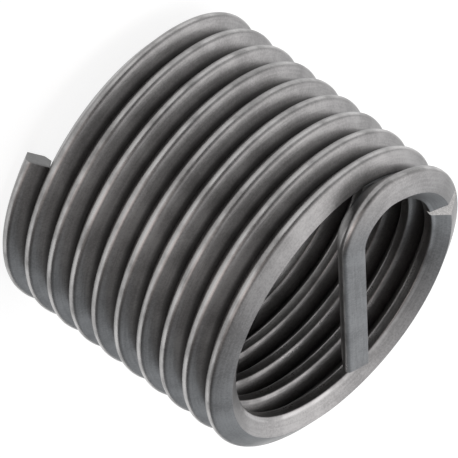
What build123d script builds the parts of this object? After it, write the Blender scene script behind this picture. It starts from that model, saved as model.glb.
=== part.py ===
"""Helical thread insert of rhombic wire, M14 x 1.5, as it is before it is wound in.

The coil stands on its cut end with its axis along +Z. The wire starts at +X and winds
right-handed up to the tang, which crosses the bore at the top. The origin is on the axis,
level with the lowest point of the wire. Lengths are in mm, angles in degrees.
"""

from build123d import *
from math import atan, cos, degrees, radians, sin, tan
import os

# The thread that the insert makes
thread_pitch = 1.5
flank_angle = 30  # between a flank and a plane square to the axis

# The wire: a rhombus whose two acute corners are cut flat, as the outer and inner thread crests
wire_width = 14 / 15 * thread_pitch  # along the axis, over the side corners
outer_crest_flat = 0.33
inner_crest_flat = 0.43

# The coil: close wound from the cut end, then stepped up to the arc that carries the tang
free_diameter = 16.85  # over the outer crest at the cut end
diameter_lost_per_turn = 0.05
close_gap = 0.02  # between the side corners of neighbouring coils
close_turns = 9.11
step_rise = 0.36  # beyond what the close pitch gives over the same turns
step_turns = 0.36
top_turns = 0.33

# The tang: the wire's end, bent in to lie across the bore
bend_radius = 1.70  # of the wire's middle line
bend_angle = 114
tang_reach = 4.85  # from the axis to the tang's cut end

# The break-off notch, pressed into the top arc from the tang's side
notch_to_bend = 54  # round the axis
notch_depth = wire_width / 2  # below the wire's side corner
notch_angle = 75

# Worked out from the sizes above
half_width = wire_width / 2
half_depth = half_width / tan(radians(flank_angle))
outer_crest = half_depth - outer_crest_flat / 2 / tan(radians(flank_angle))
outer_chamfer = outer_crest_flat / 2 / sin(radians(flank_angle))
inner_chamfer = inner_crest_flat / 2 / sin(radians(flank_angle))
radius_lost_per_turn = diameter_lost_per_turn / 2
first_radius = free_diameter / 2 - outer_crest  # of the wire's middle line
close_pitch = wire_width + close_gap
step_pitch = close_pitch + step_rise / step_turns
step_base = half_width + close_turns * close_pitch
top_base = step_base + step_turns * step_pitch


def wound(turns, pitch, base, turns_before=0):
    """A middle line that winds up from height base, where turns_before end."""
    taper = atan(radius_lost_per_turn / pitch)
    helix = Helix(
        pitch=pitch / cos(taper),
        height=turns * pitch,
        radius=first_radius - turns_before * radius_lost_per_turn,
        center=(0, 0, base),
        cone_angle=-degrees(taper),
        mode=Mode.PRIVATE,
    )
    return helix.rotate(Axis.Z, 360 * turns_before)


def inward(line, part_way):
    """Towards the axis from a place on a middle line, square to the line there."""
    place, along = line @ part_way, line % part_way
    to_axis = Vector(-place.X, -place.Y, 0)
    return (to_axis - along * to_axis.dot(along)).normalized()


close_coils = wound(close_turns, close_pitch, half_width)
step = wound(step_turns, step_pitch, step_base, close_turns)
top_arc = wound(top_turns, close_pitch, top_base, close_turns + step_turns)

# The bend runs on from the top arc, in a plane that leans with it
bend_side = (top_arc % 1).cross(inward(top_arc, 1))
with BuildLine(Plane(top_arc @ 1, x_dir=top_arc % 1, z_dir=bend_side)) as bend_line:
    bend = JernArc(start=(0, 0), tangent=(1, 0), radius=bend_radius, arc_size=bend_angle)

# The wire's section, with its own X pointing away from the axis
outward = inward(close_coils, 0) * -1
with BuildSketch(Plane(close_coils @ 0, x_dir=outward, z_dir=close_coils % 0)) as section:
    with BuildLine():
        Polyline((half_depth, 0), (0, half_width), (-half_depth, 0), (0, -half_width), close=True)
    make_face()
    chamfer(section.vertices().sort_by(Axis.X)[-1], outer_chamfer)
    chamfer(section.vertices().sort_by(Axis.X)[0], inner_chamfer)

with BuildPart() as wire_insert:
    sweep(
        section.sketch,
        path=[close_coils, step, top_arc, bend],
        transition=Transition.ROUND,
        is_frenet=True,
        clean=False,
    )

    # The straight of the tang, from the end of the bend to its cut end past the axis
    tang_root, tang_course = bend @ 1, bend % 1
    level_course = Vector(tang_course.X, tang_course.Y, 0).normalized()
    root_face = wire_insert.faces().filter_by(GeomType.PLANE).sort_by_distance(tang_root)[0]
    extrude(root_face, amount=tang_reach - tang_root.dot(level_course), clean=False)

    # The notch is a V across the wire, cut from its floor to twice its depth
    notch_place = 1 - notch_to_bend / 360 / top_turns
    notch_floor = half_width - notch_depth
    notch_top = half_width + notch_depth
    notch_half = 2 * notch_depth * tan(radians(notch_angle / 2))
    notch_plane = Plane(
        top_arc @ notch_place,
        x_dir=top_arc % notch_place,
        z_dir=inward(top_arc, notch_place) * -1,
    )
    with BuildSketch(notch_plane):
        with BuildLine():
            Polyline((0, notch_floor), (notch_half, notch_top), (-notch_half, notch_top), close=True)
        make_face()
    extrude(amount=half_depth, both=True, mode=Mode.SUBTRACT, clean=False)

wire_insert.part.label = "wire_insert"
os.makedirs("parts", exist_ok=True)
export_step(wire_insert.part, "parts/wire_insert.step")
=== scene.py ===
"""Looks of the helical thread insert: one coil of rhombic wire, standing on its cut end.

The wire is rebuilt as a fine smooth mesh along the same middle line as the solid that it
replaces, with its rolled edges rounded, the break-off notch and the sheared ends.
"""

from math import cos, e, pi, radians, sin, tan

import bmesh
import bpy
from mathutils import Matrix, Vector


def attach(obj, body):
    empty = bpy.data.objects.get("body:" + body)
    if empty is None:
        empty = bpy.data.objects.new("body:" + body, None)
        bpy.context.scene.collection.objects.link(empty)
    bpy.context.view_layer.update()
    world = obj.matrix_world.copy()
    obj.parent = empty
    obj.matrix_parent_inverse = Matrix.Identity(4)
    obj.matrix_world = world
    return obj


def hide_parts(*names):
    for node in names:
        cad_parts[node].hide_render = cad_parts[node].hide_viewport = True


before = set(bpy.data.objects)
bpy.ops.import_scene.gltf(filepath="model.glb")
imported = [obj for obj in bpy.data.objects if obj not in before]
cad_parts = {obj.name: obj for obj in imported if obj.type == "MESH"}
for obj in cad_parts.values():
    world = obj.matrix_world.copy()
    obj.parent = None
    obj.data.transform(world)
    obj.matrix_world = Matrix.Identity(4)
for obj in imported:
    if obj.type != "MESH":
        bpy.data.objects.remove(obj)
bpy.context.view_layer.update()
MM = 0.001

# The wire's section, with the flats that rolling leaves on its crests
FLANK = radians(30)
WIRE_WIDTH = 1.40 * MM
OUTER_FLAT = 0.33 * MM
INNER_FLAT = 0.43 * MM
OUTER_ROUND = 0.28 * MM
INNER_ROUND = 0.12 * MM
SIDE_ROUND = 0.02 * MM

# The coil, from its cut end up. It spreads a little towards the tang, and its wire is swaged out
# underneath and tucked into the coil above, so that no daylight shows between coils.
FREE_DIAMETER = 16.85 * MM
LOST_PER_TURN = 0.05 * MM
CLOSE_GAP = 0.02 * MM
CLOSE_TURNS = 9.11
STEP_RISE = 0.15 * MM
STEP_TURNS = 0.36
TOP_TURNS = 0.33
SPREAD = 0.0016 * MM
SWAGE = 1.2
TUCK = 0.03 * MM
RING_ROLL = radians(8)
TANG_ROLL = radians(15)

# The tang, the notch and the sheared ends, whose faces are drawn over: (share of the ring, height) each
BEND_RADIUS = 1.70 * MM
BEND_ANGLE = radians(115.5)
TANG_REACH = 4.85 * MM
NOTCH_TO_BEND = radians(54)
NOTCH_DEPTH = WIRE_WIDTH / 2
NOTCH_ANGLE = radians(75)
SHEARED_FACE = [(0.94, 0.012 * MM), (0.80, 0.022 * MM), (0.45, 0.010 * MM)]

# Worked out from those
HALF_WIDTH = WIRE_WIDTH / 2
HALF_DEPTH = HALF_WIDTH / tan(FLANK)
OUTER_CREST = HALF_DEPTH - OUTER_FLAT / 2 / tan(FLANK)
INNER_CREST = HALF_DEPTH - INNER_FLAT / 2 / tan(FLANK)
FIRST_RADIUS = FREE_DIAMETER / 2 - OUTER_CREST
ALL_TURNS = CLOSE_TURNS + STEP_TURNS + TOP_TURNS
NOTCH_TURN = ALL_TURNS - NOTCH_TO_BEND / 2 / pi

# Distances along the wire, to the end of the first ring and to the start of the top one
FIRST_RING = 2 * pi * FIRST_RADIUS
TOP_RING = 2 * pi * (ALL_TURNS - 1) * (FIRST_RADIUS - LOST_PER_TURN / 4 * ALL_TURNS)

# Distances round the section from its lower outer edge, with its edges taken as sharp
UPPER_EDGE = OUTER_FLAT
UPPER_SIDE = UPPER_EDGE + (WIRE_WIDTH - OUTER_FLAT) / 2 / sin(FLANK)
INNER_UPPER_EDGE = UPPER_SIDE + (WIRE_WIDTH - INNER_FLAT) / 2 / sin(FLANK)
INNER_LOWER_EDGE = INNER_UPPER_EDGE + INNER_FLAT
LOWER_SIDE = INNER_LOWER_EDGE + (WIRE_WIDTH - INNER_FLAT) / 2 / sin(FLANK)
ROUND_WIRE = LOWER_SIDE + (WIRE_WIDTH - OUTER_FLAT) / 2 / sin(FLANK)

# How finely the mesh follows them
STEPS_PER_TURN = 220
ROUND_STEPS = 4
BEND_STEPS = 36
TANG_STEPS = 12

# Material slots of the wire's mesh
ROLLED, PRESSED, SHEARED = range(3)

# Marks on the rolled steel: crest edges lightened, partly rubbed wear and partly painted highlight, and
# painted shade in the grooves between coils. How wide each mark is, how strong, and its tone against
# the bare steel
RUB_AND_HIGHLIGHT_WIDTH = 0.14
RUB_AND_HIGHLIGHT_SHARE = 0.75
RUB_AND_HIGHLIGHT_TONE = 1.7
GROOVE_SHADE_WIDTH_ABOVE = 0.34
GROOVE_SHADE_WIDTH_BELOW = 0.48
GROOVE_SHADE_SHARE = 0.68
GROOVE_SHADE_TONE = 0.22
DARKEST_TONE = 0.76
LIGHTEST_TONE = 1.22

# The camera, round the middle of the coil
AZIMUTH = radians(68.2)
ELEVATION = radians(23.82)
ROLL = radians(126.61)
DISTANCE = 291.75 * MM
LOOK_AT = Vector((0, 0, HALF_WIDTH + 7.037 * MM))
LENS = 481.4
SENSOR_WIDTH = 36
SHIFT = (-0.00546, 0.0008)

# Soft lights in the sky: (colour, azimuth, elevation, sharpness) each, over an even base
GLOWS = [
    ((1.50, 1.47, 1.47), radians(232), radians(58), 6),
    ((0.45, 0.45, 0.46), radians(0), radians(90), 7),
    ((1.40, 1.28, 1.24), radians(12), radians(16), 9),
    ((1.00, 0.99, 1.00), radians(197), radians(20), 8),
    ((0.62, 0.66, 0.70), radians(135), radians(30), 7),
    ((0.30, 0.30, 0.30), radians(258), radians(20), 7),
]
BASE_GLOW = (0.03, 0.03, 0.03)

# The floor: how white it shows, its own grey, and the radii between which its glow in the steel's
# reflections fades in, a painted shadow under the bore
FLOOR_REACH = 3
FLOOR_WHITE = 0.85
FLOOR_GREY = 0.3
SHADED_RADIUS = 0.1 * FREE_DIAMETER / 2
UNSHADED_RADIUS = 0.6 * FREE_DIAMETER / 2


class Shade:
    """A number, colour or vector inside a shader. Sums on it add their Math nodes."""

    def __init__(self, finish, socket):
        self.finish, self.socket = finish, socket

    def maths(self, operation, *values):
        return self.finish.node("Math", {"operation": operation}, dict(enumerate(values)))

    def __add__(self, other):
        return self.maths("ADD", self, other)

    def __sub__(self, other):
        return self.maths("SUBTRACT", self, other)

    def __rsub__(self, other):
        return self.maths("SUBTRACT", other, self)

    def __mul__(self, other):
        return self.maths("MULTIPLY", self, other)

    def __pow__(self, other):
        return self.maths("POWER", self, other)

    def __rpow__(self, other):
        return self.maths("POWER", other, self)

    def __abs__(self):
        return self.maths("ABSOLUTE", self)

    __radd__, __rmul__ = __add__, __mul__

    def between(self, low, high):
        """0 below low, 1 above high, and smooth in between."""
        sockets = {"Value": self, "From Min": low, "From Max": high}
        return self.finish.node("MapRange", {"interpolation_type": "SMOOTHSTEP"}, sockets)


class Finish:
    """The node tree of a material or of the world."""

    def __init__(self, owner):
        owner.use_nodes = True
        self.tree = owner.node_tree
        self.tree.nodes.clear()

    def node(self, kind, settings=(), sockets=(), output=0):
        """Adds a node, with its settings and then its sockets' values or links, and gives an output."""
        node = self.tree.nodes.new("ShaderNode" + kind)
        for name, value in dict(settings).items():
            setattr(node, name, value)
        for name, value in dict(sockets).items():
            if isinstance(value, Shade):
                self.tree.links.new(value.socket, node.inputs[name])
            else:
                node.inputs[name].default_value = value
        return Shade(self, node.outputs[output]) if node.outputs else None

    def stretched(self, place, *scale):
        """A place scaled by its own factor along each axis."""
        return self.node("VectorMath", {"operation": "MULTIPLY"}, {0: place, 1: scale})

    def noise(self, place, scale, detail=2, roughness=0.5):
        sockets = {"Vector": place, "Scale": scale, "Detail": detail, "Roughness": roughness}
        return self.node("TexNoise", {}, sockets)

    def blend(self, share, first, second):
        """A colour that goes from first to second as share goes from 0 to 1."""
        ends = [end if isinstance(end, Shade) else (*end, 1) for end in (first, second)]
        sockets = {"Factor": share, 6: ends[0], 7: ends[1]}
        return self.node("Mix", {"data_type": "RGBA"}, sockets, output=2)


def middle_of_coil(turn):
    """The wire's middle line, turn turns above its cut end."""
    radius = FIRST_RADIUS - LOST_PER_TURN / 2 * turn
    stepped = min(max(turn - CLOSE_TURNS, 0) / STEP_TURNS, 1) * STEP_RISE
    height = HALF_WIDTH + turn * (WIRE_WIDTH + CLOSE_GAP + turn * SPREAD) + stepped
    return Vector((radius * cos(2 * pi * turn), radius * sin(2 * pi * turn), height))


def towards_axis(place, along):
    """Square to the line at a place on it, and as near to the axis as that allows."""
    inward = Vector((-place.x, -place.y, 0))
    return (inward - along * inward.dot(along)).normalized()


def station(turn):
    """Place, direction and inward direction of the coil's middle line."""
    apart = 1e-5
    place = middle_of_coil(turn)
    along = (middle_of_coil(turn + apart) - middle_of_coil(turn - apart)).normalized()
    return place, along, towards_axis(place, along)


def eased(share):
    """0 below 0, 1 above 1, and smooth in between."""
    share = min(max(share, 0), 1)
    return share * share * (3 - 2 * share)


def rolled_over(turn):
    """How far the wire has turned about its own line, in the ring that carries the tang."""
    return RING_ROLL * eased((turn - CLOSE_TURNS) / (ALL_TURNS - CLOSE_TURNS))


def underside(turn):
    """How much the wire is swaged out underneath, to meet the coil below it."""
    if turn < 1:
        return 0
    gap = middle_of_coil(turn).z - middle_of_coil(turn - 1).z - WIRE_WIDTH - CLOSE_GAP
    return SWAGE * gap * (1 - eased((turn - NOTCH_TURN) / (ALL_TURNS - NOTCH_TURN)))


def section_axes(along, inward, rolled):
    """Outward and upward directions of the wire's section."""
    upward = along.cross(inward)
    return upward * sin(rolled) - inward * cos(rolled), upward * cos(rolled) + inward * sin(rolled)


def wire_stations():
    """Stations along the whole wire, from its cut end to the end of its tang."""
    count = round(ALL_TURNS * STEPS_PER_TURN)
    turns = [ALL_TURNS * step / count for step in range(count + 1)]
    stations = [(*station(turn), rolled_over(turn), underside(turn)) for turn in turns]
    place, along, inward, *rest = stations[-1]
    centre = place + inward * BEND_RADIUS
    for step in range(1, BEND_STEPS + 1):
        turned = BEND_ANGLE * step / BEND_STEPS
        side = inward * cos(turned) - along * sin(turned)
        course = along * cos(turned) + inward * sin(turned)
        rolled = RING_ROLL + (TANG_ROLL - RING_ROLL) * eased(step / BEND_STEPS)
        stations.append((centre - side * BEND_RADIUS, course, side, rolled, 0))
    root = stations[-1][0]
    level = Vector((course.x, course.y, 0)).normalized()
    length = TANG_REACH - root.dot(level)
    for step in range(1, TANG_STEPS + 1):
        stations.append((root + course * length * step / TANG_STEPS, course, side, TANG_ROLL, 0))
    return stations


def section_points():
    """The wire's section, as (outwards, upwards) pairs from the outer crest round.

    Its upper side is tucked into the coil above, so that no daylight shows between them.
    """
    corners = [
        (OUTER_CREST, -OUTER_FLAT / 2, OUTER_ROUND),
        (OUTER_CREST, OUTER_FLAT / 2, OUTER_ROUND),
        (0, HALF_WIDTH + CLOSE_GAP / 2 + TUCK, SIDE_ROUND),
        (-INNER_CREST, INNER_FLAT / 2, INNER_ROUND),
        (-INNER_CREST, -INNER_FLAT / 2, INNER_ROUND),
        (0, -HALF_WIDTH - CLOSE_GAP / 2, SIDE_ROUND),
    ]
    points = []
    for i, (x, y, radius) in enumerate(corners):
        here = Vector((x, y))
        back = (Vector(corners[i - 1][:2]) - here).normalized()
        on = (Vector(corners[(i + 1) % len(corners)][:2]) - here).normalized()
        half = back.angle(on) / 2
        centre = here + (back + on).normalized() * radius / sin(half)
        start = here + back * radius / tan(half) - centre
        for step in range(ROUND_STEPS + 1):
            turned = Matrix.Rotation((pi - 2 * half) * step / ROUND_STEPS, 2)
            points.append(centre + turned @ start)
    return points


def running_lengths(points):
    """Distance along a line of points, from its first point to each."""
    lengths = [0]
    for before, after in zip(points, points[1:]):
        lengths.append(lengths[-1] + (after - before).length)
    return lengths


def close_end(mesh, ring, along):
    """Closes a ring with the face of a sheared end, which bulges out along the wire."""
    middle = sum((vert.co for vert in ring), Vector()) / len(ring)
    outer = ring
    for share, out in SHEARED_FACE:
        inner = [mesh.verts.new(middle + (vert.co - middle) * share + along * out) for vert in ring]
        for i in range(len(ring)):
            j = (i + 1) % len(ring)
            mesh.faces.new((outer[i], outer[j], inner[j], inner[i])).material_index = SHEARED
        outer = inner
    mesh.faces.new(outer).material_index = SHEARED


def make_wire():
    """The wire's skin. Its flat map holds the distance along the wire and round it, in millimetres."""
    section = section_points()
    stations = wire_stations()
    along_wire = running_lengths([place for place, *rest in stations])
    round_wire = running_lengths(section + section[:1])
    mesh = bmesh.new()
    flat_map = mesh.loops.layers.uv.new("drawn")
    rings = []
    for place, along, inward, rolled, under in stations:
        outward, upward = section_axes(along, inward, rolled)
        lower = 1 + under / HALF_WIDTH
        ring = [place + outward * x + upward * (y if y > 0 else y * lower) for x, y in section]
        rings.append([mesh.verts.new(point) for point in ring])
    for k in range(len(rings) - 1):
        for i in range(len(section)):
            j = (i + 1) % len(section)
            face = mesh.faces.new((rings[k][i], rings[k][j], rings[k + 1][j], rings[k + 1][i]))
            face.material_index = ROLLED
            corners = ((k, i), (k, i + 1), (k + 1, i + 1), (k + 1, i))
            for loop, (m, n) in zip(face.loops, corners):
                loop[flat_map].uv = (along_wire[m] / MM, round_wire[n] / MM)
    close_end(mesh, rings[0], -stations[0][1])
    close_end(mesh, rings[-1], stations[-1][1])
    bmesh.ops.recalc_face_normals(mesh, faces=mesh.faces)
    data = bpy.data.meshes.new("wire")
    mesh.to_mesh(data)
    mesh.free()
    wire = bpy.data.objects.new("wire", data)
    bpy.context.scene.collection.objects.link(wire)
    return wire


def cut_notch(wire):
    """Cuts the V across the top arc, as a wedge taken out of the mesh."""
    place, along, inward = station(NOTCH_TURN)
    outward, upward = section_axes(along, inward, rolled_over(NOTCH_TURN))
    rise = 2 * NOTCH_DEPTH
    half = rise * tan(NOTCH_ANGLE / 2)
    floor = HALF_WIDTH - NOTCH_DEPTH
    wedge = bpy.data.meshes.new("wedge")
    points = [
        place + along * x + upward * y + outward * z * HALF_DEPTH
        for z in (-1, 1)
        for x, y in ((0, floor), (half, floor + rise), (-half, floor + rise))
    ]
    faces = [(0, 2, 1), (3, 4, 5), (0, 1, 4, 3), (1, 2, 5, 4), (2, 0, 3, 5)]
    wedge.from_pydata(points, [], faces)
    for finish in wire.data.materials:
        wedge.materials.append(finish)
    for face in wedge.polygons:
        face.material_index = PRESSED
    cutter = bpy.data.objects.new("cutter", wedge)
    bpy.context.scene.collection.objects.link(cutter)
    cut = wire.modifiers.new("notch", "BOOLEAN")
    cut.operation = "DIFFERENCE"
    cut.solver = "EXACT"
    cut.material_mode = "INDEX"
    cut.object = cutter
    bpy.context.view_layer.update()
    graph = bpy.context.evaluated_depsgraph_get()
    done = bpy.data.meshes.new_from_object(wire.evaluated_get(graph))
    wire.modifiers.clear()
    wire.data = done
    bpy.data.objects.remove(cutter)


def shade_evenly(wire):
    """Rounded edges take the bend of the light, and the flats between them stay flat."""
    for face in wire.data.polygons:
        face.use_smooth = True
    wire.data.set_sharp_from_angle(angle=radians(32))
    even = wire.modifiers.new("even", "WEIGHTED_NORMAL")
    even.mode = "FACE_AREA"
    even.weight = 100
    even.keep_sharp = True


def near(across, line, width):
    """1 on a line round the section, and 0 from width millimetres away."""
    return abs(across - line / MM).between(width, 0.2 * width)


def toned(tint, tone):
    """A tint made darker or lighter."""
    return tuple(tone * part for part in tint)


def wear_highlights_and_shade(finish, colour, rough, tint, streaks):
    """Lightens the crests' edges, partly as rubbed wear and partly as painted highlight, and darkens
    the grooves between the coils with painted shade.
    """
    flat = finish.node("UVMap", {"uv_map": "drawn"})
    along = finish.node("SeparateXYZ", {}, {0: flat}, output="X")
    across = finish.node("SeparateXYZ", {}, {0: flat}, output="Y")
    edges = [0, UPPER_EDGE, INNER_UPPER_EDGE, INNER_LOWER_EDGE, ROUND_WIRE]
    # Crest edges lightened in streaks: partly rubbed wear, partly painted highlight.
    rub_and_highlight = sum(near(across, edge, RUB_AND_HIGHLIGHT_WIDTH) for edge in edges) * streaks.between(0.45, 0.80)
    below_top_ring = along.between(TOP_RING / MM, (TOP_RING - WIRE_WIDTH) / MM)
    above_first_ring = along.between(0, FIRST_RING / MM)
    # Painted shade in the grooves: darker beside each side edge, only where a coil lies above or below
    # it.
    groove_shade = near(across, UPPER_SIDE, GROOVE_SHADE_WIDTH_ABOVE) * below_top_ring
    groove_shade = groove_shade + near(across, LOWER_SIDE, GROOVE_SHADE_WIDTH_BELOW) * above_first_ring
    colour = finish.blend(RUB_AND_HIGHLIGHT_SHARE * rub_and_highlight, colour, toned(tint, RUB_AND_HIGHLIGHT_TONE))
    colour = finish.blend(GROOVE_SHADE_SHARE * groove_shade, colour, toned(tint, GROOVE_SHADE_TONE))
    return colour, rough + 0.12 * groove_shade - 0.06 * rub_and_highlight


def steel(name, tint, roughness, grain, drawn=0):
    """Bare stainless steel: grain is the depth of its pitted skin, drawn that of its drawing lines."""
    material = bpy.data.materials.new(name)
    finish = Finish(material)
    place = finish.node("TexCoord", output="Object")
    flat = finish.node("UVMap", {"uv_map": "drawn"})
    lines = finish.noise(finish.stretched(flat, 0.35, 9, 1), 1, detail=4, roughness=0.6)
    hairs = finish.noise(finish.stretched(flat, 0.8, 34, 1), 1, detail=2)
    clouds = finish.noise(place, 700, detail=3)
    pits = finish.noise(place, 9000, detail=3, roughness=0.7)
    shine = 0.35 * lines + 0.15 * hairs + 0.50 * clouds
    tones = toned(tint, DARKEST_TONE), toned(tint, LIGHTEST_TONE)
    colour = finish.blend((shine + 0.6 * (pits - 0.5)).between(0.28, 0.72), *tones)
    relief = drawn * (0.5 * lines + 0.3 * hairs) + grain * pits
    rough = roughness + 0.20 * (0.5 - shine) + 0.18 * (pits - 0.5)
    # Drawn wire also gets its crest edges lightened, as wear and painted highlight, and painted shade
    # in its grooves.
    if drawn:
        colour, rough = wear_highlights_and_shade(finish, colour, rough, tint, clouds + 0.3 * lines)
    normal = finish.node("Bump", {}, {"Strength": 0.6, "Distance": 0.01 * MM, "Height": relief})
    sockets = {"Base Color": colour, "Metallic": 1, "Roughness": rough, "Normal": normal}
    surface = finish.node("BsdfPrincipled", {}, sockets)
    finish.node("OutputMaterial", {}, {"Surface": surface})
    return material


def place_camera():
    """Looks at the coil from the tang's side and above, rolled about its own line of sight."""
    back = Vector((sin(AZIMUTH) * cos(ELEVATION), -cos(AZIMUTH) * cos(ELEVATION), sin(ELEVATION)))
    level = Vector((0, 0, 1)).cross(back).normalized()
    upright = back.cross(level)
    right = level * cos(ROLL) + upright * sin(ROLL)
    up = back.cross(right)
    place = LOOK_AT + back * DISTANCE
    camera = bpy.data.objects.new("camera", bpy.data.cameras.new("camera"))
    bpy.context.scene.collection.objects.link(camera)
    camera.matrix_world = Matrix([*zip(right, up, back, place), (0, 0, 0, 1)])
    camera.data.lens = LENS
    camera.data.sensor_width = SENSOR_WIDTH
    camera.data.shift_x, camera.data.shift_y = SHIFT
    camera.data.clip_start = 0.01
    camera.data.clip_end = 10
    bpy.context.scene.camera = camera


def sky_glow():
    """Lights the sky: each glow fades with the angle from its middle."""
    world = bpy.data.worlds.new("world")
    bpy.context.scene.world = world
    finish = Finish(world)
    place = finish.node("TexCoord", output="Generated")
    light = BASE_GLOW
    for colour, azimuth, elevation, sharpness in GLOWS:
        flat = cos(elevation)
        towards = (flat * cos(azimuth), flat * sin(azimuth), sin(elevation))
        sockets = {0: place, 1: towards}
        facing = finish.node("VectorMath", {"operation": "DOT_PRODUCT"}, sockets, output="Value")
        share = e ** (sharpness * (facing - 1))
        glow = finish.node("VectorMath", {"operation": "SCALE"}, {0: colour, "Scale": share})
        light = finish.node("VectorMath", {"operation": "ADD"}, {0: light, 1: glow})
    surface = finish.node("Background", {}, {"Color": light, "Strength": 1})
    finish.node("OutputWorld", {}, {"Surface": surface})


def pale_floor():
    """A floor that is white to the eye and in the steel, and still takes the shadow; under the bore its
    glow in the steel fades out, as a painted shadow.
    """
    data = bpy.data.meshes.new("floor")
    corners = [(FLOOR_REACH * x, FLOOR_REACH * y, 0) for x, y in ((-1, -1), (1, -1), (1, 1), (-1, 1))]
    data.from_pydata(corners, [], [(0, 1, 2, 3)])
    floor = bpy.data.objects.new("floor", data)
    bpy.context.scene.collection.objects.link(floor)
    material = bpy.data.materials.new("pale_floor")
    finish = Finish(material)
    seen = finish.node("LightPath", output="Is Camera Ray")
    mirrored = finish.node("LightPath", output="Is Glossy Ray")
    through = finish.node("LightPath", output="Is Transmission Ray")
    place = finish.node("TexCoord", output="Object")
    from_axis = finish.node("VectorMath", {"operation": "LENGTH"}, {0: place}, output="Value")
    # Painted shadow: under the bore the floor's glow fades out of the steel's reflections and of what
    # shines through.
    out_of_painted_shadow = from_axis.between(SHADED_RADIUS, UNSHADED_RADIUS)
    strength = FLOOR_WHITE * (seen + out_of_painted_shadow * (mirrored + through))
    glow = finish.node("Emission", {}, {"Strength": strength})
    lit = finish.node("BsdfDiffuse", {}, {"Color": (FLOOR_GREY, FLOOR_GREY, FLOOR_GREY, 1)})
    surface = finish.node("AddShader", {}, {0: glow, 1: lit})
    finish.node("OutputMaterial", {}, {"Surface": surface})
    data.materials.append(material)


wire = make_wire()
for finish in (
    steel("rolled_steel", (0.305, 0.300, 0.298), 0.35, grain=0.6, drawn=1),
    # The notch's pressed faces: tint raised above bare steel, partly fresh pressed metal and partly
    # painted highlight.
    steel("pressed_steel_with_painted_highlight", (0.82, 0.81, 0.80), 0.24, grain=0.4),
    steel("sheared_steel", (0.22, 0.22, 0.22), 0.44, grain=1.6),
):
    wire.data.materials.append(finish)
cut_notch(wire)
shade_evenly(wire)
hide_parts("wire_insert")
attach(wire, "root")

place_camera()
sky_glow()
pale_floor()
bpy.context.scene.view_settings.view_transform = "Standard"
